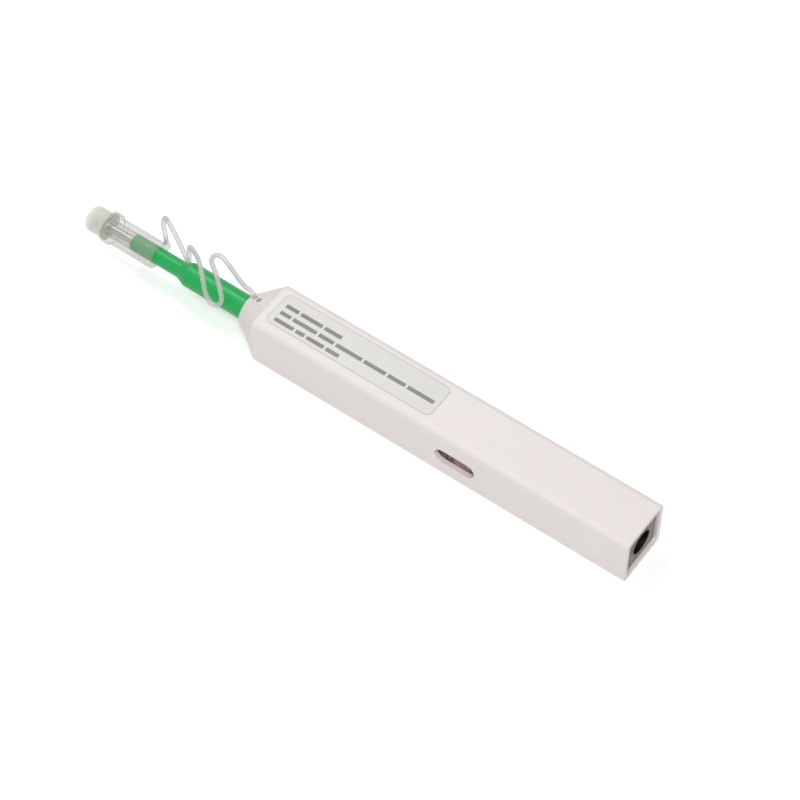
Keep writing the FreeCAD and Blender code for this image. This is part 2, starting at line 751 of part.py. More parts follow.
def make_cover():
    """The chassis cover and its screws."""
    length = ("front_screw_x - cover_front", CHASSIS_REAR)
    plate = box("cover_plate", length, ACROSS_TRAY, (COVER_BOTTOM, COVER_TOP))
    seat = f"{COVER_TOP} - screw_head_height"
    tools = []
    for count, middle in enumerate(SCREWS, 1):
        sink = rod(f"cover_sink_{count}", "z", seat, COVER_TOP, "screw_head_diameter + 2 * screw_gap", middle)
        hole = rod(f"cover_hole_{count}", "z", COVER_BOTTOM, seat, "screw_diameter + 2 * screw_gap", middle)
        tools += [sink, hole]
        head = rod(f"screw_head_{count}", "z", seat, COVER_TOP, "screw_head_diameter", middle)
        shank = rod(f"screw_shank_{count}", "z", f"{seat} - screw_length", seat, "screw_diameter", middle)
        slot = box(
            f"screw_slot_{count}",
            (f"{middle[0]} - screw_head_diameter / 2", f"{middle[0]} + screw_head_diameter / 2"),
            (f"{middle[1]} - screw_slot / 2", f"{middle[1]} + screw_slot / 2"),
            (f"{COVER_TOP} - screw_head_height / 2", COVER_TOP),
        )
        solid = joined(f"screw_solid_{count}", head, shank)
        finished(f"cover_screw_{count}", cut(f"screw_{count}", solid, slot))
    for name, x in (("supply", SUPPLY_X), ("takeup", TAKEUP_X)):
        tools.append(rod(f"{name}_top", "z", COVER_BOTTOM, COVER_TOP, "axle_diameter", (x, "0")))
    return finished("chassis_cover", within_tray("cover_rounded", cut("cover_cut", plate, *tools)))


def make_axles():
    """The reels' steel axles, the cam pin and the leaf that clicks on the ratchet."""
    for name, x in (("supply_axle", SUPPLY_X), ("takeup_axle", TAKEUP_X)):
        finished(name, rod(name + "_rod", "z", FLOOR_BOTTOM, COVER_TOP, "axle_diameter", (x, "0")))
    reach = "axis_height - rotor_diameter / 2 + cam_pin_reach"
    foot = f"{PIN_TOP} - pin_depth"
    finished("cam_pin", rod("cam_pin_rod", "z", foot, reach, "cam_pin_diameter", (CAM_PIN_X, "0")))
    side = f"{REEL_RADIUS} + leaf_gap"
    leaf = box(
        "leaf_strip",
        (f"{TAKEUP_X} - leaf_tip", f"{TAKEUP_X} - leaf_tip + leaf_length"),
        (f"-({side} + leaf_thick)", f"-({side})"),
        (FLOOR_TOP, f"{FLOOR_TOP} + leaf_height"),
    )
    finished("ratchet_leaf", leaf)


def reel_profile(neck_top):
    """Half outline of a reel: two flanges on a hub, with a neck on top."""
    bore, hub = "axle_diameter / 2 + axle_gap", "hub_diameter / 2"
    return [
        (bore, REEL_BOTTOM),
        (REEL_RADIUS, REEL_BOTTOM),
        (REEL_RADIUS, f"{REEL_BOTTOM} + flange_plate"),
        (hub, f"{REEL_BOTTOM} + flange_plate"),
        (hub, f"{REEL_TOP} - flange_plate"),
        (REEL_RADIUS, f"{REEL_TOP} - flange_plate"),
        (REEL_RADIUS, REEL_TOP),
        (hub, REEL_TOP),
        (hub, neck_top),
        (bore, neck_top),
    ]


def make_thread(name, x, diameter):
    """The wound cleaning thread between a reel's flanges."""
    low, high = f"{REEL_BOTTOM} + flange_plate + wound_gap", f"{REEL_TOP} - flange_plate - wound_gap"
    outer = rod(name + "_outer", "z", low, high, diameter, (x, "0"))
    inner = rod(name + "_inner", "z", low, high, "hub_diameter + 2 * wound_gap", (x, "0"))
    return finished(name, cut(name + "_ring", outer, inner))


def make_supply_reel():
    """The full reel behind the window, its thread, and the washer that brakes it."""
    neck = f"{COVER_BOTTOM} - washer_thick - axle_gap"
    reel = turned("supply_reel_body", reel_profile(neck), "V_Axis")
    finished("supply_reel", place(reel, x=SUPPLY_X))
    make_thread("supply_thread", SUPPLY_X, "supply_wound")
    low = f"{COVER_BOTTOM} - washer_thick"
    outer = rod("washer_outer", "z", low, COVER_BOTTOM, "washer_diameter", (SUPPLY_X, "0"))
    inner = rod("washer_inner", "z", low, COVER_BOTTOM, "axle_diameter + 2 * axle_gap", (SUPPLY_X, "0"))
    finished("brake_washer", cut("washer_ring", outer, inner))


def make_takeup_reel():
    """The reel that winds the used thread, with ratchet teeth round its lower flange."""
    reel = turned("takeup_reel_body", reel_profile(f"{RACK_BOTTOM} - axle_gap"), "V_Axis")
    drawing = sketch(reel, "XY_Plane", "ratchet_notch", f"{REEL_BOTTOM} + flange_plate")
    width = f"2 * {REEL_RADIUS} * tan(180 / ratchet_teeth)"
    notch = [
        (f"{REEL_RADIUS} - ratchet_depth", "0"),
        (f"{REEL_RADIUS} + ratchet_depth", "0"),
        (f"{REEL_RADIUS} + ratchet_depth", f"{width} * 0.9"),
        (REEL_RADIUS, f"{width} * 0.9"),
    ]
    polygon(drawing, notch)
    doc.recompute()
    first = reel.newObject("PartDesign::Pocket", "ratchet_cut")
    first.Profile = drawing
    drive(first, Length="flange_plate")
    doc.recompute()
    ring = reel.newObject("PartDesign::PolarPattern", "ratchet_ring")
    ring.Originals = [first]
    ring.Axis = (drawing, ["N_Axis"])
    ring.Angle = 360
    drive(ring, Occurrences="ratchet_teeth")
    reel.Tip = ring
    finished("takeup_reel", place(reel, x=TAKEUP_X))
    make_thread("takeup_thread", TAKEUP_X, "takeup_wound")


# ---------------------------------------------------------------- drive

def involute(radius):
    """Involute of a 20 degree tooth's pressure angle at a radius, as a sheet expression in radians."""
    cosine = f"({PITCH_RADIUS} * cos(20) / ({radius}))"
    return f"(tan(acos({cosine})) - acos({cosine}) / 1 deg * pi / 180)"


def tooth_half(radius):
    """Half the thickness of a pinion tooth at a radius, less the backlash."""
    angle = f"(90 / pinion_teeth * pi / 180 + tan(20) - 20 * pi / 180 - {involute(radius)})"
    return f"({radius}) * {angle} - backlash / 2"


def make_pinion():
    """The pinion on the take-up axle, with one gap facing the rack."""
    body = doc.addObject("PartDesign::Body", "pinion_body")
    root = f"{PITCH_RADIUS} - rack_module - tooth_clearance"
    tip = f"{PITCH_RADIUS} + rack_module"
    low = sketch(body, "XY_Plane", "pinion_disc", RACK_BOTTOM)
    circle(low, f"2 * ({root})")
    bore = sketch(body, "XY_Plane", "pinion_bore", RACK_TOP)
    circle(bore, "axle_diameter + 2 * axle_gap")
    tooth = sketch(body, "XY_Plane", "pinion_tooth", RACK_BOTTOM)
    base = f"{PITCH_RADIUS} * cos(20) + backlash / 2"
    side = [(f"{root} - tooth_clearance", tooth_half(base))]
    flank = (base, PITCH_RADIUS, f"{PITCH_RADIUS} + rack_module / 2", tip)
    side += [(radius, tooth_half(radius)) for radius in flank]
    polygon(tooth, [(x, f"-({y})") for x, y in side] + side[::-1])
    doc.recompute()
    disc = body.newObject("PartDesign::Pad", "pinion_core")
    disc.Profile = low
    drive(disc, Length="rack_thick")
    doc.recompute()
    first = body.newObject("PartDesign::Pad", "pinion_first_tooth")
    first.Profile = tooth
    drive(first, Length="rack_thick")
    doc.recompute()
    ring = body.newObject("PartDesign::PolarPattern", "pinion_ring")
    ring.Originals = [first]
    ring.Axis = (tooth, ["N_Axis"])
    ring.Angle = 360
    drive(ring, Occurrences="pinion_teeth")
    body.Tip = ring
    doc.recompute()
    hole = body.newObject("PartDesign::Pocket", "pinion_hole")
    hole.Profile = bore
    drive(hole, Length="rack_thick")
    body.Tip = hole
    place(body, x=TAKEUP_X)
    drive(body, **{"Placement.Rotation.Angle": "90 + 180 / pinion_teeth"})
    return finished("drive_pinion", body)


def make_carriage():
    """The slide behind the nose: a square plate that holds the rotor's collar, with the rack on an arm."""
    axis = ("0", "axis_height")
    body = doc.addObject("PartDesign::Body", "carriage_square")
    outline = square_section(body, "carriage_outline", TRAY, "carriage_corner", TAIL)
    doc.recompute()
    plate = body.newObject("PartDesign::Pad", "carriage_pad")
    plate.Profile = outline
    drive(plate, Length="carriage_thick")
    body.Tip = plate
    place(body, z="axis_height")
    last = f"{TAKEUP_X} + rack_teeth_rear * {TOOTH_PITCH}"
    arm = box(
        "carriage_arm",
        (CARRIAGE_REAR, f"{last} + rack_end"),
        (RACK_ROOT, f"{RACK_ROOT} + rack_width"),
        (RACK_BOTTOM, RACK_TOP),
    )
    rack = doc.addObject("PartDesign::Body", "rack_body")
    tooth = sketch(rack, "XY_Plane", "rack_tooth", RACK_BOTTOM)
    start = f"{TAKEUP_X} + (rack_teeth_rear + 1 - rack_teeth) * {TOOTH_PITCH}"
    pitch_half = f"({TOOTH_PITCH} / 4 - backlash / 2)"
    tip_half = f"({pitch_half} - rack_module * tan(20))"
    root_half = f"({pitch_half} + (rack_module + tooth_clearance) * tan(20))"
    tip_side = f"{PITCH_RADIUS} - rack_module"
    polygon(
        tooth,
        [
            (f"{start} - {tip_half}", tip_side),
            (f"{start} + {tip_half}", tip_side),
            (f"{start} + {root_half}", RACK_ROOT),
            (f"{start} + {root_half}", f"{RACK_ROOT} + rack_width / 2"),
            (f"{start} - {root_half}", f"{RACK_ROOT} + rack_width / 2"),
            (f"{start} - {root_half}", RACK_ROOT),
        ],
    )
    strip = sketch(rack, "XY_Plane", "rack_strip", RACK_BOTTOM)
    low, high = f"{start} - {TOOTH_PITCH} / 2", f"{last} + {TOOTH_PITCH} / 2"
    near, far = f"{RACK_ROOT} + rack_width / 4", f"{RACK_ROOT} + rack_width"
    polygon(strip, [(low, near), (high, near), (high, far), (low, far)])
    doc.recompute()
    back = rack.newObject("PartDesign::Pad", "rack_back")
    back.Profile = strip
    drive(back, Length="rack_thick")
    doc.recompute()
    first = rack.newObject("PartDesign::Pad", "rack_first_tooth")
    first.Profile = tooth
    drive(first, Length="rack_thick")
    doc.recompute()
    row = rack.newObject("PartDesign::LinearPattern", "rack_row")
    row.Originals = [first]
    row.Direction = (tooth, ["H_Axis"])
    drive(row, Length=f"(rack_teeth - 1) * {TOOTH_PITCH}", Occurrences="rack_teeth")
    rack.Tip = row
    bore = rod("carriage_bore", "x", TAIL, CARRIAGE_REAR, ROTOR_BORE, axis)
    pocket_end = f"{COLLAR_REAR} + collar_play"
    pocket = rod("carriage_pocket", "x", TAIL, pocket_end, "collar_diameter + 2 * slide_gap", axis)
    return finished("carriage", cut("carriage_cut", joined("carriage_solid", body, arm, rack), bore, pocket))


def make_nose():
    """The green nose tube: tail flange, barrel, cone and neck, bored for the rotor and the tip tube."""
    outline = [
        (TAIL, f"{ROTOR_BORE} / 2"),
        (TAIL, "flange_diameter / 2"),
        (FLANGE_FRONT, "flange_diameter / 2"),
        (FLANGE_FRONT, "barrel_diameter / 2"),
        (BARREL_END, "barrel_diameter / 2"),
        (NECK_START, "neck_diameter / 2"),
        (f"{NECK_END} + nose_edge", "neck_diameter / 2"),
        (NECK_END, "neck_diameter / 2 - nose_edge"),
        (NECK_END, "tube_diameter / 2 + fine_gap"),
        (f"{NECK_END} + nose_bearing", "tube_diameter / 2 + fine_gap"),
        (f"{NECK_END} + nose_bearing", "nose_bore / 2"),
        (f"{ROTOR_FRONT} - bore_relief", "nose_bore / 2"),
        (f"{ROTOR_FRONT} - bore_relief", f"{ROTOR_BORE} / 2"),
    ]
    return finished("nose_tube", place(turned("nose_body", outline), z="axis_height"))


def make_spring():
    """The return spring between the carriage and the chassis' seat wall."""
    height = "spring_length - spring_wire - 2 * spring_play"
    spring = coil("spring_body", "spring_diameter", "spring_wire", f"({height}) / spring_turns", height)
    place(spring, f"{CARRIAGE_REAR} + spring_play", "0", "axis_height", ALONG["x"])
    return finished("return_spring", spring)


def make_rotor():
    """The sleeve that turns the tip: a collar, and a helical groove that runs on the cam pin."""
    outline = [
        (ROTOR_FRONT, "tube_diameter / 2"),
        (ROTOR_FRONT, "rotor_diameter / 2"),
        (COLLAR_FRONT, "rotor_diameter / 2"),
        (COLLAR_FRONT, "collar_diameter / 2"),
        (COLLAR_REAR, "collar_diameter / 2"),
        (COLLAR_REAR, "rotor_diameter / 2"),
        (ROTOR_REAR, "rotor_diameter / 2"),
        (ROTOR_REAR, "tube_diameter / 2"),
    ]
    body = turned("rotor_body", outline)
    drawing = sketch(body, "XY_Plane", "rotor_groove_section")
    start = f"{CAM_PIN_X} - push_travel - groove_over"
    floor, over = "rotor_diameter / 2 - groove_depth", "rotor_diameter / 2 + groove_depth"
    low, high = f"{start} - groove_width / 2", f"{start} + groove_width / 2"
    polygon(drawing, [(low, floor), (high, floor), (high, over), (low, over)])
    doc.recompute()
    groove = body.newObject("PartDesign::SubtractiveHelix", "rotor_groove")
    groove.Profile = drawing
    groove.ReferenceAxis = (drawing, ["H_Axis"])
    groove.Mode = 0
    drive(groove, Pitch="360 / turn_angle * push_travel", Height="push_travel + 2 * groove_over")
    body.Tip = groove
    body.Placement = App.Placement(Vector(), App.Rotation(Vector(1, 0, 0), 1))
    drive(
        body,
        **{
            "Placement.Rotation.Angle": "270 - turn_angle * (1 + groove_over / push_travel)",
            "Placement.Base.z": "axis_height",
        },
    )
    return finished("rotor", body)


# ---------------------------------------------------------------- tip

def make_tip():
    """The steel tube, its sprung head, the spring behind it and the thread that runs over the head."""
    axis = ("0", "axis_height")
    solid = rod("tube_outer", "x", TUBE_FRONT, TUBE_REAR, "tube_diameter", axis)
    inside = rod("tube_inner", "x", TUBE_FRONT, TUBE_REAR, "tube_bore", axis)
    tube = cut("tube_wall", solid, inside)
    stop_end = f"{STOP_FRONT} + tip_stop_length"
    core = ("-head_core / 2", "head_core / 2")
    height = ("axis_height - tube_bore / 2", "axis_height + tube_bore / 2")
    stop = doc.addObject("Part::MultiCommon", "tube_stop")
    stop.Shapes = [
        rod("stop_round", "x", STOP_FRONT, stop_end, "tube_bore", axis),
        box("stop_bar", (STOP_FRONT, stop_end), core, height),
    ]
    finished("tip_tube", joined("tube_solid", tube, stop))

    head_diameter = "tube_bore - 2 * tip_gap"
    front = rod("head_round", "x", HEAD_FRONT, HEAD_REAR, head_diameter, axis)
    stem = rod("head_stem", "x", HEAD_REAR, f"{HEAD_REAR} + head_stem_length", "head_stem_diameter", axis)
    slot_half = "(strand_diameter / 2 + strand_gap)"
    slot = (f"axis_height - {slot_half}", f"axis_height + {slot_half}")
    saddle = (HEAD_FRONT, f"{HEAD_FRONT} + head_saddle")
    grooves = [box("head_saddle_cut", saddle, ("-tube_bore", "tube_bore"), slot)]
    for name, limits in (("near", ("-tube_bore", core[0])), ("far", (core[1], "tube_bore"))):
        grooves.append(box(f"head_groove_{name}", (HEAD_FRONT, HEAD_REAR), limits, slot))
    finished("tip_head", cut("head_cut", joined("head_solid", front, stem), *grooves))

    height = "tip_spring_length - tip_spring_wire - 2 * strand_gap"
    pitch = f"({height}) / tip_spring_turns"
    spring = coil("tip_spring_body", "tip_spring_diameter", "tip_spring_wire", pitch, height)
    place(spring, f"{HEAD_REAR} + strand_gap", "0", "axis_height", ALONG["x"])
    finished("tip_spring", spring)

    side, level = number("strand_spread") / 2, number("axis_height")
    crown = number(f"{HEAD_FRONT} + strand_diameter / 2 + strand_gap")
    end = number(TUBE_REAR)
    corners = [(end, side), (crown, side), (crown, -side), (end, -side)]
    route = [Vector(x, y, level) for x, y in corners]
    finished("cleaning_strand", cord("strand", route, "strand_diameter"))


# ---------------------------------------------------------------- guide cap and lid

def make_cap():
    """The guide cap: sleeve, flange, tapered nozzle with the ferrule bore, strap tab and hinge."""
    outline = [
        (CAP_RIM, "neck_diameter / 2 + cap_gap"),
        (CAP_RIM, "cap_diameter / 2 - cap_edge"),
        (f"{CAP_RIM} - cap_edge", "cap_diameter / 2"),
        (f"{CAP_FACE} + cap_flange_thick", "cap_diameter / 2"),
        (f"{CAP_FACE} + cap_flange_thick", "cap_flange_diameter / 2"),
        (CAP_FACE, "cap_flange_diameter / 2"),
        (CAP_FACE, "nozzle_base / 2"),
        (f"{CAP_FACE} - nozzle_shoulder_out", "nozzle_shoulder / 2"),
        (NOZZLE_END, "nozzle_tip / 2"),
        (NOZZLE_END, "ferrule_diameter / 2 + fine_gap"),
        (CHAMBER_END, "ferrule_diameter / 2 + fine_gap"),
        (CHAMBER_END, "neck_diameter / 2 + cap_gap"),
    ]
    sleeve = place(turned("cap_body", outline), z="axis_height")
    inner = "cap_diameter / 2 - cap_root"
    tab = box(
        "cap_tab",
        (f"{CAP_RIM} - tab_length", CAP_RIM),
        (inner, "cap_diameter / 2 + tab_reach"),
        ("axis_height - tab_height", "axis_height"),
    )
    hinge = box(
        "cap_hinge",
        (CAP_FACE, f"{CAP_FACE} + cap_flange_thick"),
        (inner, HINGE_SIDE),
        HINGE_SPAN,
    )
    bead = rod("cap_hinge_bead", "z", *HINGE_SPAN, "lid_bead", (CAP_FACE, HINGE_SIDE))
    return finished("guide_cap", joined("cap_solid", sleeve, tab, hinge, bead))


def make_lid():
    """The flip lid over the nozzle: a cup with a knuckle on its hinge side."""
    outline = [
        (LID_FACE, "lid_bore / 2"),
        (LID_FACE, "lid_diameter / 2"),
        (LID_END, "lid_end_diameter / 2"),
        (LID_END, "0"),
        (f"{LID_END} + lid_end_wall", "0"),
        (f"{LID_END} + lid_end_wall", "lid_bore / 2"),
    ]
    body = turned("lid_body", outline)
    fillet(body, "lid_round", "lid_edge", flat_at(LID_END))
    place(body, z="axis_height")
    knuckle = box(
        "lid_knuckle_block",
        (f"{LID_FACE} - lid_knuckle", LID_FACE),
        ("lid_bore / 2 + lid_root", HINGE_SIDE),
        HINGE_SPAN,
    )
    room = rod("lid_bead_room", "z", *HINGE_SPAN, "lid_bead + 2 * lid_gap", (CAP_FACE, HINGE_SIDE))
    return finished("cap_lid", cut("lid_cut", joined("lid_solid", body, knuckle), room))


# ---------------------------------------------------------------- strap

STRAP_MIDDLE = Vector(-54.85, -1.1, 16.45)

STRAP_FRONT = [
    Vector(-73.25, 5.2, 9.0),
    Vector(-73.25, 5.2, 10.6),
    Vector(-74.3, 6.2, 12.0),
    Vector(-75.8, 7.4, 12.6),
    Vector(-76.9, 8.8, 12.8),
    Vector(-77.9, 10.6, 12.2),
    Vector(-77.7, 11.4, 10.1),
    Vector(-74.4, 10.2, 7.9),
    Vector(-70.7, 8.5, 5.7),
    Vector(-67.4, 7.0, 3.5),
    Vector(-67.3, 7.4, 1.4),
    Vector(-68.4, 9.0, 0.8),
    Vector(-69.7, 10.7, 2.2),
    Vector(-69.3, 10.8, 4.7),
    Vector(-66.2, 8.4, 7.9),
    Vector(-61.6, 4.9, 12.2),
    Vector(-57.5, 1.3, 16.4),
    STRAP_MIDDLE,
]

STRAP_REAR = [
    STRAP_MIDDLE,
    Vector(-52.2, -3.5, 16.5),
    Vector(-50.7, -4.9, 14.0),
    Vector(-48.6, -6.0, 12.0),
    Vector(-45.5, -6.2, 11.7),
    Vector(-44.3, -4.8, 13.6),
    Vector(-46.1, -3.3, 15.6),
    Vector(-48.9, -0.9, 16.5),
    Vector(-52.1, 1.6, 16.5),
    Vector(-55.1, 3.7, 15.4),
    Vector(-56.2, 6.5, 14.6),
    Vector(-55.0, 8.1, 13.7),
    Vector(-51.9, 7.5, 12.8),
    Vector(-46.8, 4.9, 13.6),
    Vector(-41.6, 2.0, 15.8),
    Vector(-38.3, 1.4, 16.4),
    Vector(-37.0, 1.2, 15.0),
    Vector(-37.0, 1.2, 13.6),
]


def make_strap():
    """The strap from the cap's tab over the nose to the taper, as two lengths that meet over the barrel."""
    finished("strap_front", cord("strap_front_cord", STRAP_FRONT, "strap_diameter"))
    finished("strap_rear", cord("strap_rear_cord", STRAP_REAR, "strap_diameter"))


# ---------------------------------------------------------------- the assembly

def main():
    """Makes every piece, checks it and writes it to its own file."""
    for make in (
        make_casing,
        make_label,
        make_rear_end,
        make_chassis,
        make_cover,
        make_axles,
        make_supply_reel,
        make_takeup_reel,
        make_pinion,
        make_carriage,
        make_nose,
        make_spring,
        make_rotor,
        make_tip,
        make_cap,
        make_lid,
        make_strap,
    ):
        make()
    doc.recompute()
    failed = [thing.Label for thing in doc.Objects if {"Invalid", "Error"} & set(thing.State)]
    failed += [piece.Label for piece in PARTS if piece.Shape.isNull() or not piece.Shape.isValid()]
    if failed:
        raise RuntimeError("failed pieces: " + ", ".join(failed))
    os.makedirs("parts", exist_ok=True)
    for piece in PARTS:
        piece.Shape.exportStep(f"parts/{piece.Label}.step")
        print(f"{piece.Label}: {len(piece.Shape.Solids)} solid, {piece.Shape.Volume:.2f} mm3")


main()
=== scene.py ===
import json
import math

import bpy
import numpy as np
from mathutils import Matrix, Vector

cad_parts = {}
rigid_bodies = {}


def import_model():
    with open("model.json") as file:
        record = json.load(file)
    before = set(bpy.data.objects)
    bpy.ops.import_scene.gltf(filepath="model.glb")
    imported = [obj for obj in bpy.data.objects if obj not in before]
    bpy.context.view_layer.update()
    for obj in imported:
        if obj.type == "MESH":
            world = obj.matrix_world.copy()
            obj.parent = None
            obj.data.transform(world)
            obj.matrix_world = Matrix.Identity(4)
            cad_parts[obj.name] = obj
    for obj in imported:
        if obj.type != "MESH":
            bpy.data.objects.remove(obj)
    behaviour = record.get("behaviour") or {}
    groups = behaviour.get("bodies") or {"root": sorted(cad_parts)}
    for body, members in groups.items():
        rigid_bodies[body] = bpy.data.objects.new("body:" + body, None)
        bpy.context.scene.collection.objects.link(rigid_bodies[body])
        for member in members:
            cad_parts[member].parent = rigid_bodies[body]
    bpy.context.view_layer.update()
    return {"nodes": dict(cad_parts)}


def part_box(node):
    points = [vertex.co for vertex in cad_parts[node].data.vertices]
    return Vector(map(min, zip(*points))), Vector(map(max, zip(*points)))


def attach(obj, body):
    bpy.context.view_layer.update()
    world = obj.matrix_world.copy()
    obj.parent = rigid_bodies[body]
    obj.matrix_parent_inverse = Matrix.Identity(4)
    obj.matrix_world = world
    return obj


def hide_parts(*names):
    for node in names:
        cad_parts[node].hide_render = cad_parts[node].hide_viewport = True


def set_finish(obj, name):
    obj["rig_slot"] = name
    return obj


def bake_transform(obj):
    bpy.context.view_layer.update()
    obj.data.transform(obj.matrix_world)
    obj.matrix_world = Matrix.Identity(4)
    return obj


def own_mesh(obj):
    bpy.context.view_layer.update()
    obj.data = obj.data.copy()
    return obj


bl_info = {
    "name": "Connector cleaning pen",
    "version": (1, 0, 0),
    "blender": (4, 5, 0),
    "location": "View3D > Sidebar > Cleaning pen",
    "description": "Straps, springs, wound threads, finishes and stage of a connector cleaning pen",
    "category": "Object",
}

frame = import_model()

# Height of the pen's long axis over the table.
AXIS_HEIGHT = 0.009

# The camera looks at the target from this far off, turned this far round the pen and
# this far up from the table. Its lens and sensor are in millimetres.
CAMERA_TARGET = (0.01535, -0.00025, AXIS_HEIGHT)
CAMERA_DISTANCE = 0.7858
CAMERA_AZIMUTH = math.radians(35.95)
CAMERA_ELEVATION = math.radians(54.85)
CAMERA_LENS = 125.49
CAMERA_SENSOR = 36.0

# Turns of the return spring and of the small spring behind the tip.
SPRING_TURNS = 6.0
TIP_SPRING_TURNS = 10.0

# The label's corner radius and the width of the painted shade along its cut edge.
LABEL_CORNER = 0.002
LABEL_EDGE_SHADE = 0.00025

# The rear plate is painted black inside this radius as painted shade, deep in its well. The radius
# lies just behind the wall of the well.
WELL_SHADE_RADIUS = 0.00394

# Share of a shadow ray that one face of milky plastic lets on.
SHADOW_PASSES = 0.93

# Clouds in a moulding's colour, from the melt's flow, in millimetres.
FLOW_CLOUDS = 9.0

# Half the side of the square floor.
FLOOR_HALF = 0.7

# Each lamp's place, the side of its square and its power in watts.
LAMPS = {
    "lamp_over": ((-0.25, 0.19, 0.62), 0.17, 1.3),
    "lamp_front": ((0.30, -0.44, 0.85), 0.4, 5.3),
}

# Strength of the world's light on the object. Seen directly, the world is white.
WORLD_LIGHT = 0.31

# Grey level that the floor gains where it is seen.
FLOOR_GLOW = 0.25

# Middle of the strap, where its two halves meet on the nose.
STRAP_MIDDLE = (-0.05485, -0.0011, 0.01645)

# From the guide cap's tab to the middle.
STRAP_FRONT = [
    (-0.07325, 0.0052, 0.0090),
    (-0.07325, 0.0052, 0.0106),
    (-0.07430, 0.0062, 0.0120),
    (-0.07580, 0.0074, 0.0126),
    (-0.07690, 0.0088, 0.0128),
    (-0.07790, 0.0106, 0.0122),
    (-0.07770, 0.0114, 0.0101),
    (-0.07440, 0.0102, 0.0079),
    (-0.07070, 0.0085, 0.0057),
    (-0.06740, 0.0070, 0.0035),
    (-0.06730, 0.0074, 0.0014),
    (-0.06840, 0.0090, 0.0008),
    (-0.06970, 0.0107, 0.0022),
    (-0.06930, 0.0108, 0.0047),
    (-0.06620, 0.0084, 0.0079),
    (-0.06160, 0.0049, 0.0122),
    (-0.05750, 0.0013, 0.0164),
]

# From the middle to the hole in the casing's taper.
STRAP_REAR = [
    (-0.0522, -0.0035, 0.0165),
    (-0.0507, -0.0049, 0.0140),
    (-0.0486, -0.0060, 0.0120),
    (-0.0455, -0.0062, 0.0117),
    (-0.0443, -0.0048, 0.0136),
    (-0.0461, -0.0033, 0.0156),
    (-0.0489, -0.0009, 0.0165),
    (-0.0521, 0.0016, 0.0165),
    (-0.0551, 0.0037, 0.0154),
    (-0.0562, 0.0065, 0.0146),
    (-0.0550, 0.0081, 0.0137),
    (-0.0519, 0.0075, 0.0128),
    (-0.0468, 0.0049, 0.0136),
    (-0.0416, 0.0020, 0.0158),
    (-0.0383, 0.0014, 0.0164),
    (-0.0370, 0.0012, 0.0150),
    (-0.0370, 0.0012, 0.0136),
]


# ---------------------------------------------------------------- sizes and colours

def linear(code):
    """An sRGB hex colour as linear red, green and blue."""
    srgb = np.array([int(code[i : i + 2], 16) for i in (1, 3, 5)]) / 255
    low, high = srgb / 12.92, ((srgb + 0.055) / 1.055) ** 2.4
    return tuple(float(v) for v in np.where(srgb <= 0.04045, low, high))


def size(name, default, description):
    """A length in metres for the panel."""
    return bpy.props.FloatProperty(
        name=name,
        default=default,
        description=description,
        min=0.0,
        precision=5,
        unit="LENGTH",
    )


def shade(name, code, description):
    """A colour for the panel, given as sRGB hex."""
    return bpy.props.FloatVectorProperty(
        name=name,
        default=linear(code),
        description=description,
        size=3,
        min=0.0,
        max=1.0,
        subtype="COLOR",
    )


class PenSizes(bpy.types.PropertyGroup):
    """Sizes of the pieces that are made here."""

    strap: size("Strap", 0.0014, "Diameter of the retaining strap")
    wire: size("Spring wire", 0.0006, "Wire of the return spring")
    spring: size("Return spring", 0.0072, "Diameter at the middle of the wire")
    tip_wire: size("Tip spring wire", 0.0002, "Wire of the spring behind the tip")
    hub: size("Reel hub", 0.00464, "Diameter inside the wound thread")
    strand: size("Thread pitch", 0.00032, "Distance between two turns on a reel")
    strand_depth: size("Thread relief", 0.00007, "Depth between two turns on a reel")


class PenColours(bpy.types.PropertyGroup):
    """Base colours of the finishes."""

    casing: shade("Casing", "#E6DFDC", "Warm white of the moulded casing")
    label: shade("Label", "#D6D5D1", "Grey film of the label")
    # Painted shade: a grey that stands in for the shaded side of the film along the label's cut
    # edge.
    label_edge_shade: shade("Label's edge", "#BDBBB7", "Cut edge of the label's film")
    print_ink: shade("Print", "#8A8784", "Ink of the bars on the label")
    plate: shade("Rear plate", "#8E857D", "Dark grey of the rear plate")
    # Painted shade: black that stands in for the shade deep in the rear plate's well.
    well: shade("Well", "#040404", "Black inside of the rear plate's well")
    chassis: shade("Chassis", "#BDB4AC", "Grey of the inner mouldings")
    reel: shade("Reels", "#A09A94", "Grey of the reels")
    nose: shade("Nose", "#00A450", "Green of the nose")
    slide: shade("Slides", "#E3E0D6", "Natural white of the sliding parts")
    pink: shade("Thread", "#E0A8AC", "Pink of the cleaning thread")
    white: shade("Strand", "#E8E6E0", "White of the cleaning strand")
    cap: shade("Cap", "#B2B0A7", "Milky grey of the cap")
    lid: shade("Cap's lid", "#DEDCD3", "Milky white of the cap's lid")
    strap: shade("Strap", "#C8C8C4", "Milky grey of the strap")
    steel: shade("Steel", "#C6C6C4", "Stainless steel")
    wire: shade("Spring wire", "#9A9896", "Spring wire")
    screw: shade("Screws", "#1E1E20", "Blackened screws")
    floor: shade("Floor", "#FCFCFC", "Pale floor")


# ---------------------------------------------------------------- surfaces

def linked(name, mesh):
    """An object with that mesh in the scene, shaded smooth but for its sharp edges."""
    mesh.polygons.foreach_set("use_smooth", np.ones(len(mesh.polygons), bool))
    mesh.set_sharp_from_angle(angle=math.radians(40))
    made = bpy.data.objects.new(name, mesh)
    bpy.context.scene.collection.objects.link(made)
    return made


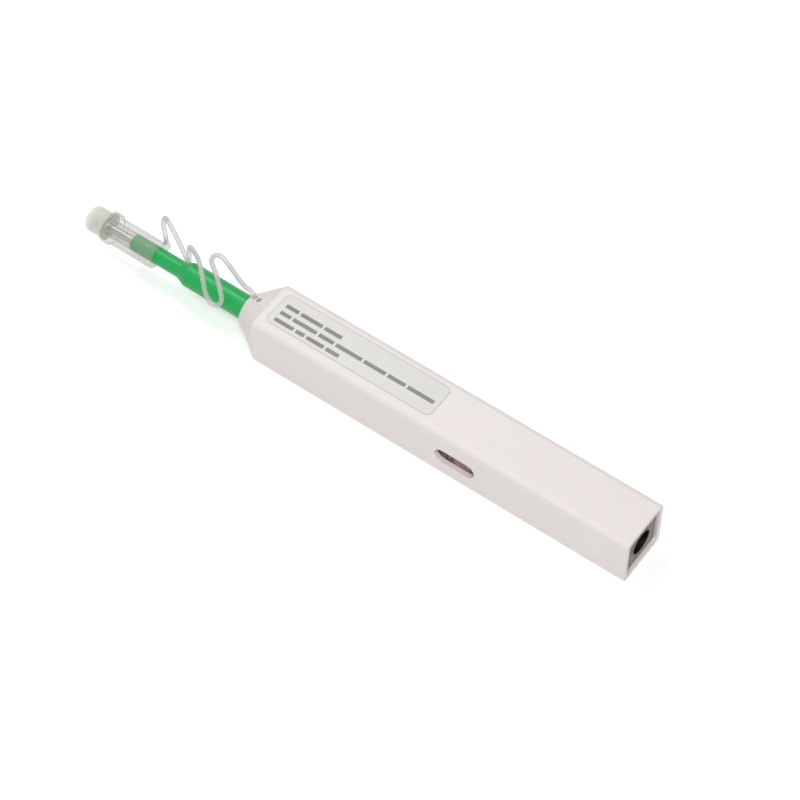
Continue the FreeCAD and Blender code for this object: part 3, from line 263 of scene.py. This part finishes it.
def skin(name, rings, capped=True):
    """A closed surface from an array of rings, each closed on itself: P(i, j) = rings[i, j].

    Capped, each end closes on a pole in the middle of its ring. Otherwise the last ring joins
    the first. A negative volume shows that the faces point inwards, and they are turned.
    """
    count, around = rings.shape[:2]
    step = np.arange(count - 1 if capped else count)[:, None]
    turn = np.arange(around)[None, :]
    after, beside = (step + 1) % count, (turn + 1) % around
    quads = np.stack(
        np.broadcast_arrays(
            step * around + turn,
            step * around + beside,
            after * around + beside,
            after * around + turn,
        ),
        axis=-1,
    ).reshape(-1, 4)
    points = rings.reshape(-1, 3)
    faces = quads.tolist()
    if capped:
        near, far = len(points), len(points) + 1
        points = np.vstack([points, rings[0].mean(axis=0), rings[-1].mean(axis=0)])
        j, k = turn[0], beside[0]
        last = (count - 1) * around
        faces += np.stack([np.full(around, near), k, j], axis=-1).tolist()
        faces += np.stack([np.full(around, far), last + j, last + k], axis=-1).tolist()
    a, b, c, d = (points[quads[:, i]] for i in range(4))
    if np.einsum("ij,ij->", a, np.cross(b, c) + np.cross(c, d)) < 0:
        faces = [face[::-1] for face in faces]
    mesh = bpy.data.meshes.new(name)
    mesh.from_pydata(points.tolist(), [], faces)
    mesh.validate()
    return linked(name, mesh)


def tube(name, line, radius, sides=20):
    """A round tube along a line: P(i, v) = C(i) + radius * (N(i) * cos v + B(i) * sin v).

    T is the line's direction, N is carried along without twisting (N less its part along T,
    made unit), and B = T x N.
    """
    direction = np.gradient(line, axis=0)
    direction /= np.linalg.norm(direction, axis=1)[:, None]
    normal = np.empty_like(line)
    off_the_line = (0.0, 0.3, 1.0)
    carried = np.cross(direction[0], off_the_line)
    for i, along in enumerate(direction):
        carried = carried - along * carried.dot(along)
        carried = carried / np.linalg.norm(carried)
        normal[i] = carried
    side = np.cross(direction, normal)
    v = np.linspace(0, 2 * math.pi, sides, endpoint=False)[None, :, None]
    rings = line[:, None] + radius * (normal[:, None] * np.cos(v) + side[:, None] * np.sin(v))
    return skin(name, rings)


# ---------------------------------------------------------------- camera and strap

class PEN_OT_camera(bpy.types.Operator):
    """Sets the camera above the pen's near side"""

    bl_idname = "pen.camera"
    bl_label = "Camera"

    def execute(self, context):
        data = bpy.data.cameras.new("camera")
        data.lens = CAMERA_LENS
        data.sensor_width = CAMERA_SENSOR
        data.clip_start = 0.01
        data.clip_end = 20.0
        camera = bpy.data.objects.new("camera", data)
        context.scene.collection.objects.link(camera)
        level = math.cos(CAMERA_ELEVATION)
        back = Vector(
            (
                math.sin(CAMERA_AZIMUTH) * level,
                -math.cos(CAMERA_AZIMUTH) * level,
                math.sin(CAMERA_ELEVATION),
            )
        )
        camera.location = Vector(CAMERA_TARGET) + back * CAMERA_DISTANCE
        camera.rotation_mode = "QUATERNION"
        camera.rotation_quaternion = (-back).to_track_quat("-Z", "Y")
        context.scene.camera = camera
        return {"FINISHED"}


def routed(points):
    """The points of a NURBS spline of order 3 through its end points, evenly evaluated."""
    curve = bpy.data.curves.new("strap_route", "CURVE")
    curve.dimensions = "3D"
    spline = curve.splines.new("NURBS")
    spline.points.add(len(points) - 1)
    homogeneous = np.column_stack([np.array(points), np.ones(len(points))])
    spline.points.foreach_set("co", homogeneous.ravel())
    spline.order_u = 3
    spline.use_endpoint_u = True
    spline.resolution_u = 10
    holder = bpy.data.objects.new("strap_route", curve)
    bpy.context.scene.collection.objects.link(holder)
    bpy.context.view_layer.update()
    mesh = bpy.data.meshes.new_from_object(holder)
    line = np.empty(len(mesh.vertices) * 3)
    mesh.vertices.foreach_get("co", line)
    bpy.data.objects.remove(holder)
    bpy.data.curves.remove(curve)
    bpy.data.meshes.remove(mesh)
    return line.reshape(-1, 3)


class PEN_OT_strap(bpy.types.Operator):
    """Makes the retaining strap from the cap's tab, over the nose, to the hole in the taper"""

    bl_idname = "pen.strap"
    bl_label = "Strap"

    def execute(self, context):
        diameter = context.scene.pen_sizes.strap
        line = routed(STRAP_FRONT + [STRAP_MIDDLE] + STRAP_REAR)
        split = int(np.linalg.norm(line - np.array(STRAP_MIDDLE), axis=1).argmin())
        front, rear = line[: split + 1], line[split:]
        for name, part, pair, start, end in (
            ("strap_front", front, ("nose", "cap"), STRAP_MIDDLE, STRAP_FRONT[0]),
            ("strap_rear", rear, ("casing", "nose"), STRAP_REAR[-1], STRAP_MIDDLE),
        ):
            made = tube(name + "_tube", part, diameter / 2)
            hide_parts(name)
            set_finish(made, "strap_clear")
            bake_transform(made)
        return {"FINISHED"}


# ---------------------------------------------------------------- springs and threads

def helix(first, last, radius, turns, level, per_turn=40):
    """C(t) = (first + (last - first) * t, radius * sin a, level + radius * cos a).

    a = 2 pi turns t, and t goes from 0 to 1.
    """
    t = np.linspace(0, 1, int(turns * per_turn) + 1)
    angle = 2 * math.pi * turns * t
    along = first + (last - first) * t
    return np.column_stack([along, radius * np.sin(angle), level + radius * np.cos(angle)])


class PEN_OT_springs(bpy.types.Operator):
    """Makes the return spring and the tip's small spring"""

    bl_idname = "pen.springs"
    bl_label = "Springs"

    def execute(self, context):
        sizes = context.scene.pen_sizes
        for node, joint, body, wire, mean, turns in (
            ("return_spring", "nose_push", "casing", sizes.wire, sizes.spring, SPRING_TURNS),
            ("tip_spring", "tip_press", "rotor", sizes.tip_wire, None, TIP_SPRING_TURNS),
        ):
            low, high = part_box(node)
            level = (low[2] + high[2]) / 2
            if mean is None:
                mean = high[2] - low[2] - wire
            line = helix(low[0] + wire / 2, high[0] - wire / 2, mean / 2, turns, level)
            made = tube(node + "_coil", line, wire / 2, 14)
            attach(made, body)
            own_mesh(made)
            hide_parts(node)
            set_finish(made, "spring_steel")
        return {"FINISHED"}


class PEN_OT_threads(bpy.types.Operator):
    """Makes the thread wound on each reel, turn beside turn"""

    bl_idname = "pen.threads"
    bl_label = "Wound threads"

    def execute(self, context):
        sizes = context.scene.pen_sizes
        for node, body in (("supply_thread", "supply"), ("takeup_thread", "takeup")):
            made = self.wound(node, sizes)
            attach(made, body)
            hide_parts(node)
            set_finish(made, "thread_pink")
        return {"FINISHED"}

    def wound(self, node, sizes):
        """R(z) = outer - depth * (1 - |sin(pi (z - low) / pitch)|) outside, and the hub inside.

        The profile is turned about the axle.
        """
        low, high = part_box(node)
        x, y = (low[0] + high[0]) / 2, (low[1] + high[1]) / 2
        outer = (high[0] - low[0]) / 2
        turns = round((high[2] - low[2]) / sizes.strand)
        z = np.linspace(low[2], high[2], turns * 8 + 1)
        ripple = np.abs(np.sin(math.pi * turns * (z - low[2]) / (high[2] - low[2])))
        wall = outer - sizes.strand_depth * (1 - ripple)
        radius = np.concatenate([wall, [sizes.hub / 2, sizes.hub / 2]])
        height = np.concatenate([z, [high[2], low[2]]])
        v = np.linspace(0, 2 * math.pi, 96, endpoint=False)
        rings = np.stack(
            np.broadcast_arrays(
                x + radius[:, None] * np.cos(v),
                y + radius[:, None] * np.sin(v),
                height[:, None],
            ),
            axis=-1,
        )
        return skin(node + "_wound", rings, capped=False)


# ---------------------------------------------------------------- finishes

def add_node(tree, kind, inputs=None, **settings):
    """A node with its settings; inputs gives a socket's value or the socket that feeds it."""
    made = tree.nodes.new(kind)
    for name, value in settings.items():
        setattr(made, name, value)
    for key, value in (inputs or {}).items():
        if isinstance(value, bpy.types.NodeSocket):
            tree.links.new(value, made.inputs[key])
        else:
            made.inputs[key].default_value = value
    return made


def started(name):
    """A new node material with only its output, and that output."""
    made = bpy.data.materials.new(name)
    made.use_nodes = True
    made.node_tree.nodes.clear()
    return made.node_tree, add_node(made.node_tree, "ShaderNodeOutputMaterial"), made


def grain(tree, millimetres, detail=3.0, stretch=(1.0, 1.0, 1.0)):
    """Noise whose features are about that many millimetres across, in the object's own metres."""
    place = add_node(tree, "ShaderNodeTexCoord").outputs["Object"]
    scaled = add_node(tree, "ShaderNodeMapping", {"Vector": place, "Scale": stretch})
    settings = {"Vector": scaled.outputs["Vector"], "Scale": 1000 / millimetres, "Detail": detail}
    return add_node(tree, "ShaderNodeTexNoise", settings).outputs["Fac"]


def tinted(tree, colour, spread, factor):
    """The colour, a little darker to a little lighter as the factor goes from 0.3 to 0.7."""
    ramp = add_node(tree, "ShaderNodeValToRGB", {"Fac": factor})
    stops = zip(ramp.color_ramp.elements, (0.3, 0.7), (1 - spread, 1 + spread))
    for stop, place, level in stops:
        stop.position = place
        stop.color = (*(min(1.0, channel * level) for channel in colour), 1.0)
    return ramp.outputs["Color"]


def two_coloured(tree, test, colour, spread, other):
    """The clouded colour where the test gives 0, and the other colour, plain, where it gives 1."""
    clouds = tinted(tree, colour, spread, grain(tree, FLOW_CLOUDS))
    # A colour mix has its factor at 0, its two colours at 6 and 7, and its result at 2.
    inputs = {0: test.outputs["Value"], 6: clouds, 7: (*other, 1.0)}
    return add_node(tree, "ShaderNodeMix", inputs, data_type="RGBA").outputs[2]


def surfaced(tree, output, height, micrometres, inputs):
    """Ends a material: a shader with those inputs, over a relief that many micrometres high."""
    settings = {"Height": height, "Distance": micrometres * 1e-6, "Strength": 1.0}
    inputs["Normal"] = add_node(tree, "ShaderNodeBump", settings).outputs["Normal"]
    shader = add_node(tree, "ShaderNodeBsdfPrincipled", inputs).outputs["BSDF"]
    tree.links.new(shader, output.inputs["Surface"])
    return shader


def moulded(name, colour, roughness, spread, millimetres, micrometres, ior=1.5):
    """A moulded plastic: faint clouds from the melt's flow, and the mould's spark-eroded grain.

    spread is how far the clouds go from the colour, millimetres the grain's width, and
    micrometres its depth. The real grain is 0.05 to 0.1 mm wide, too fine to show, so it is
    drawn 0.2 to 0.6 mm wide.
    """
    tree, output, made = started(name)
    clouds = tinted(tree, colour, spread, grain(tree, FLOW_CLOUDS))
    inputs = {"Base Color": clouds, "Roughness": roughness, "IOR": ior}
    surfaced(tree, output, grain(tree, millimetres, 5.0), micrometres, inputs)
    return made


def milky(name, colour, clear, edge, roughness):
    """A natural, unpigmented plastic: some light passes, and its crystals scatter the rest.

    The part that passes falls from clear to edge where the wall turns side-on and there is more
    of it to cross. Scattered light still goes on inwards, so a shadow ray passes almost whole.
    The faint waves of the wall are drawn 0.6 mm wide.
    """
    tree, output, made = started(name)
    clouds = tinted(tree, colour, 0.03, grain(tree, 4.0))
    inputs = {"Base Color": clouds, "Roughness": roughness, "IOR": 1.49}
    body = surfaced(tree, output, grain(tree, 0.6, 4.0), 1, inputs)
    through = add_node(tree, "ShaderNodeBsdfTransparent")
    turned = add_node(tree, "ShaderNodeLayerWeight", {"Blend": 0.5}).outputs["Facing"]
    inputs = {0: turned, 1: edge - clear, 2: clear}
    passed = add_node(tree, "ShaderNodeMath", inputs, operation="MULTIPLY_ADD").outputs["Value"]
    shadow = add_node(tree, "ShaderNodeLightPath").outputs["Is Shadow Ray"]
    inputs = {0: shadow, 1: SHADOW_PASSES}
    onwards = add_node(tree, "ShaderNodeMath", inputs, operation="MULTIPLY").outputs["Value"]
    inputs = {0: passed, 1: onwards}
    passed = add_node(tree, "ShaderNodeMath", inputs, operation="MAXIMUM").outputs["Value"]
    inputs = {0: passed, 1: body, 2: through.outputs["BSDF"]}
    mixed = add_node(tree, "ShaderNodeMixShader", inputs)
    tree.links.new(mixed.outputs["Shader"], output.inputs["Surface"])
    return made


def metal(name, colour, roughness, stretch, micrometres):
    """A metal with marks from its making, drawn out to lines along an axis whose stretch is small.

    Real ones are about 0.02 mm apart, too fine to show, so they are drawn 0.25 mm apart.
    """
    tree, output, made = started(name)
    lines = grain(tree, 0.25, 4.0, stretch)
    inputs = {
        "Base Color": tinted(tree, colour, 0.06, lines),
        "Metallic": 1.0,
        "Roughness": roughness,
    }
    surfaced(tree, output, lines, micrometres, inputs)
    return made


def yarn(name, colour):
    """A spun microfibre thread: bands of twist across it, and a soft sheen from its loose fibres.

    The real twist is about 0.4 mm long, too fine to show, so its bands are drawn 2.9 mm apart.
    At a scale of 1 the diagonal bands are 2 pi / (10 sqrt 3) apart, which is 0.363.
    """
    tree, output, made = started(name)
    place = add_node(tree, "ShaderNodeTexCoord").outputs["Object"]
    inputs = {
        "Vector": place,
        "Scale": 0.363 / 0.0029,
        "Distortion": 2.0,
        "Detail": 3.0,
        "Detail Scale": 4.0,
    }
    bands = add_node(tree, "ShaderNodeTexWave", inputs, bands_direction="DIAGONAL").outputs["Fac"]
    inputs = {
        "Base Color": tinted(tree, colour, 0.12, bands),
        "Roughness": 0.85,
        "Sheen Weight": 0.3,
        "Sheen Roughness": 0.5,
    }
    surfaced(tree, output, bands, 15, inputs)
    return made


class PEN_OT_finishes(bpy.types.Operator):
    """Gives every piece the finish of its material slot"""

    bl_idname = "pen.finishes"
    bl_label = "Finishes"

    def execute(self, context):
        c = context.scene.pen_colours
        finishes = {
            # Satin ABS: the grain breaks up reflections, so the flat sides look soft and even.
            "casing_white": moulded("ABS_moulded_satin", c.casing, 0.45, 0.012, 0.35, 4, 1.54),
            # Vinyl film: smoother than the casing, so it shows as a faintly glossier field, with
            # painted shade along its cut edge.
            "label_grey": self.film(c.label, c.label_edge_shade),
            # Screen ink: matt and slightly uneven where the mesh laid it down.
            "print_dark": moulded("ink_screen_printed", c.print_ink, 0.6, 0.08, 0.2, 3),
            # Glass-filled nylon: coarser grain and a dull, dry face, with painted shade, black, in
            # its well.
            "plate_grey": self.plate(c.plate, c.well),
            # Blackened steel: dark, with a dull metal glint on the screw heads' edges.
            "screw_black": metal("steel_turned_blackened", c.screw, 0.42, (1.0, 1.0, 1.0), 3),
            # ABS in a plain grey: the inner frame, less finely finished than the casing.
            "chassis_grey": moulded("ABS_moulded_plain", c.chassis, 0.55, 0.04, 0.5, 8, 1.54),
            # Stainless tube and pins: lines along the tube draw out its highlights.
            "steel": metal("stainless_steel_drawn", c.steel, 0.28, (0.05, 1.0, 1.0), 2),
            # Acetal: waxy, with a low soft gloss.
            "reel_grey": moulded("acetal_moulded_grey", c.reel, 0.38, 0.03, 0.6, 3, 1.48),
            # Microfibre thread: bands of twist and a pale fibre sheen.
            "thread_pink": yarn("microfibre_thread_wound", c.pink),
            "thread_white": yarn("microfibre_strand_drawn", c.white),
            # Green polypropylene: saturated, with a wide soft highlight along the round nose.
            "nose_green": moulded("polypropylene_moulded_green", c.nose, 0.38, 0.02, 0.5, 4, 1.49),
            # Natural acetal: off-white with a soft gloss.
            "slide_white": moulded("acetal_moulded_natural", c.slide, 0.35, 0.02, 0.6, 3, 1.48),
            # Music wire: bright, with a faint unevenness from drawing and coiling.
            "spring_steel": metal("music_wire_drawn_coiled", c.wire, 0.3, (1.0, 1.0, 1.0), 1),
            # Natural polypropylene: milky, the green nose shows through it.
            "cap_clear": milky("polypropylene_moulded_natural", c.cap, 0.82, 0.52, 0.4),
            # Soft natural polyethylene: milky, less clear than the cap because it is solid.
            "strap_clear": milky("polyethylene_moulded_natural", c.strap, 0.58, 0.1, 0.4),
        }
        # Thicker natural polypropylene: the lid's walls scatter more, so it looks whiter.
        lid = milky("polypropylene_moulded_natural_thick", c.lid, 0.62, 0.4, 0.4)
        for node in frame["nodes"].values():
            for place in node.material_slots:
                slot = place.material.name.split(".")[0]
                place.material = lid if node == frame["nodes"]["cap_lid"] else finishes[slot]
        for piece in bpy.data.objects:
            if piece.get("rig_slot"):
                piece.data.materials.append(finishes[piece["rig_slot"]])
        return {"FINISHED"}

    def film(self, colour, edge):
        """Calendered vinyl film with painted shade along its cut edge: a thin grey rim.

        The painted shade is where a point is near the film's round-cornered outline:
        length(max(abs(p - middle) - half + corner, 0)) > corner - edge.
        """
        tree, output, made = started("vinyl_film_calendered")
        low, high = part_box("label")
        middle = [(a + b) / 2 for a, b in zip(low, high)]
        reach = [(b - a) / 2 - LABEL_CORNER for a, b in zip(low, high)]
        reach[2] = 1.0
        place = add_node(tree, "ShaderNodeTexCoord").outputs["Object"]
        for operation, other in (
            ("SUBTRACT", middle),
            ("ABSOLUTE", None),
            ("SUBTRACT", reach),
            ("MAXIMUM", (0.0, 0.0, 0.0)),
        ):
            inputs = {0: place} if other is None else {0: place, 1: other}
            step = add_node(tree, "ShaderNodeVectorMath", inputs, operation=operation)
            place = step.outputs["Vector"]
        out = add_node(tree, "ShaderNodeVectorMath", {0: place}, operation="LENGTH")
        # Painted shade: the grey rim along the film's cut edge stands in for its shaded side.
        inputs = {0: out.outputs["Value"], 1: LABEL_CORNER - LABEL_EDGE_SHADE}
        painted_rim = add_node(tree, "ShaderNodeMath", inputs, operation="GREATER_THAN")
        inputs = {
            "Base Color": two_coloured(tree, painted_rim, colour, 0.01, edge),
            "Roughness": 0.32,
            "IOR": 1.5,
        }
        surfaced(tree, output, grain(tree, 1.5, 5.0), 2, inputs)
        return made

    def plate(self, colour, dark):
        """Glass-filled nylon with painted shade: black near the pen's axis, where the light in its
        well dies out.
        """
        tree, output, made = started("nylon_glass_filled_moulded")
        place = add_node(tree, "ShaderNodeTexCoord").outputs["Object"]
        inputs = {0: place, 1: (0.0, 1.0, 1.0)}
        flat = add_node(tree, "ShaderNodeVectorMath", inputs, operation="MULTIPLY")
        inputs = {0: flat.outputs["Vector"], 1: (0.0, 0.0, AXIS_HEIGHT)}
        away = add_node(tree, "ShaderNodeVectorMath", inputs, operation="DISTANCE")
        # Painted shade: black inside the well's radius.
        inputs = {0: away.outputs["Value"], 1: WELL_SHADE_RADIUS}
        inside = add_node(tree, "ShaderNodeMath", inputs, operation="LESS_THAN")
        inputs = {
            "Base Color": two_coloured(tree, inside, colour, 0.05, dark),
            "Roughness": 0.6,
            "IOR": 1.53,
            "Specular IOR Level": 0.2,
        }
        surfaced(tree, output, grain(tree, 0.25, 5.0), 8, inputs)
        return made


# ---------------------------------------------------------------- stage

def sharp_rays(tree):
    """1 for what is seen, also in a reflection or through something clear, and 0 for the rest."""
    rays = add_node(tree, "ShaderNodeLightPath").outputs
    seen = rays["Is Camera Ray"]
    for name in ("Is Glossy Ray", "Is Transmission Ray"):
        inputs = {0: seen, 1: rays[name]}
        seen = add_node(tree, "ShaderNodeMath", inputs, operation="MAXIMUM").outputs["Value"]
    return seen


class PEN_OT_stage(bpy.types.Operator):
    """Makes the pale floor, the soft lamps and the white surroundings"""

    bl_idname = "pen.stage"
    bl_label = "Stage"

    def execute(self, context):
        signs = ((-1, -1), (1, -1), (1, 1), (-1, 1))
        corners = [(x * FLOOR_HALF, y * FLOOR_HALF, 0.0) for x, y in signs]
        mesh = bpy.data.meshes.new("floor")
        mesh.from_pydata(corners, [], [(0, 1, 2, 3)])
        floor = linked("floor", mesh)
        mesh.materials.append(self.paper(context.scene.pen_colours.floor))
        for name, (place, side, watts) in LAMPS.items():
            self.lamp(context, name, place, side, watts)
        world = bpy.data.worlds.new("studio")
        world.use_nodes = True
        tree = world.node_tree
        tree.nodes.clear()
        white = (1.0, 1.0, 1.0, 1.0)
        light = add_node(tree, "ShaderNodeBackground", {"Color": white, "Strength": WORLD_LIGHT})
        seen = add_node(tree, "ShaderNodeBackground", {"Color": white, "Strength": 1.0})
        inputs = {
            0: sharp_rays(tree),
            1: light.outputs["Background"],
            2: seen.outputs["Background"],
        }
        both = add_node(tree, "ShaderNodeMixShader", inputs)
        output = add_node(tree, "ShaderNodeOutputWorld")
        tree.links.new(both.outputs["Shader"], output.inputs["Surface"])
        context.scene.world = world
        context.scene.view_settings.view_transform = "Standard"
        return {"FINISHED"}

    def lamp(self, context, name, place, side, watts):
        """A square area lamp that looks at the pen."""
        data = bpy.data.lights.new(name, "AREA")
        data.shape = "SQUARE"
        data.size = side
        data.energy = watts
        made = bpy.data.objects.new(name, data)
        made.location = place
        made.rotation_euler = (-Vector(place)).to_track_quat("-Z", "Y").to_euler()
        context.scene.collection.objects.link(made)

    def paper(self, colour):
        """Matt white paper, a little brighter where it is seen, so that faint shadows wash out."""
        tree, output, made = started("paper_matt_rolled")
        fibres = grain(tree, 3.0)
        inputs = {
            "Base Color": tinted(tree, colour, 0.004, fibres),
            "Roughness": 0.95,
            "Specular IOR Level": 0.1,
            "Emission Color": (FLOOR_GLOW, FLOOR_GLOW, FLOOR_GLOW, 1.0),
            "Emission Strength": sharp_rays(tree),
        }
        surfaced(tree, output, fibres, 20, inputs)
        return made


# ---------------------------------------------------------------- add-on

STEPS = (PEN_OT_camera, PEN_OT_strap, PEN_OT_springs, PEN_OT_threads, PEN_OT_finishes, PEN_OT_stage)


class PEN_PT_panel(bpy.types.Panel):
    """The pen's steps, sizes and colours"""

    bl_idname = "PEN_PT_panel"
    bl_label = "Cleaning pen"
    bl_space_type = "VIEW_3D"
    bl_region_type = "UI"
    bl_category = "Cleaning pen"

    def draw(self, context):
        for step in STEPS:
            self.layout.operator(step.bl_idname)
        for group in (context.scene.pen_sizes, context.scene.pen_colours):
            for name in group.__annotations__:
                self.layout.prop(group, name)


CLASSES = (PenSizes, PenColours, *STEPS, PEN_PT_panel)


def register():
    """Registers the classes and the scene's two groups of values."""
    for kind in CLASSES:
        bpy.utils.register_class(kind)
    bpy.types.Scene.pen_sizes = bpy.props.PointerProperty(type=PenSizes)
    bpy.types.Scene.pen_colours = bpy.props.PointerProperty(type=PenColours)


def unregister():
    """Takes back what register() did."""
    del bpy.types.Scene.pen_colours
    del bpy.types.Scene.pen_sizes
    for kind in reversed(CLASSES):
        bpy.utils.unregister_class(kind)


def main():
    """Makes the whole scene."""
    register()
    for step in STEPS:
        group, name = step.bl_idname.split(".")
        if getattr(getattr(bpy.ops, group), name)() != {"FINISHED"}:
            raise RuntimeError(f"{step.bl_label} did not finish")


if __name__ == "__main__":
    main()
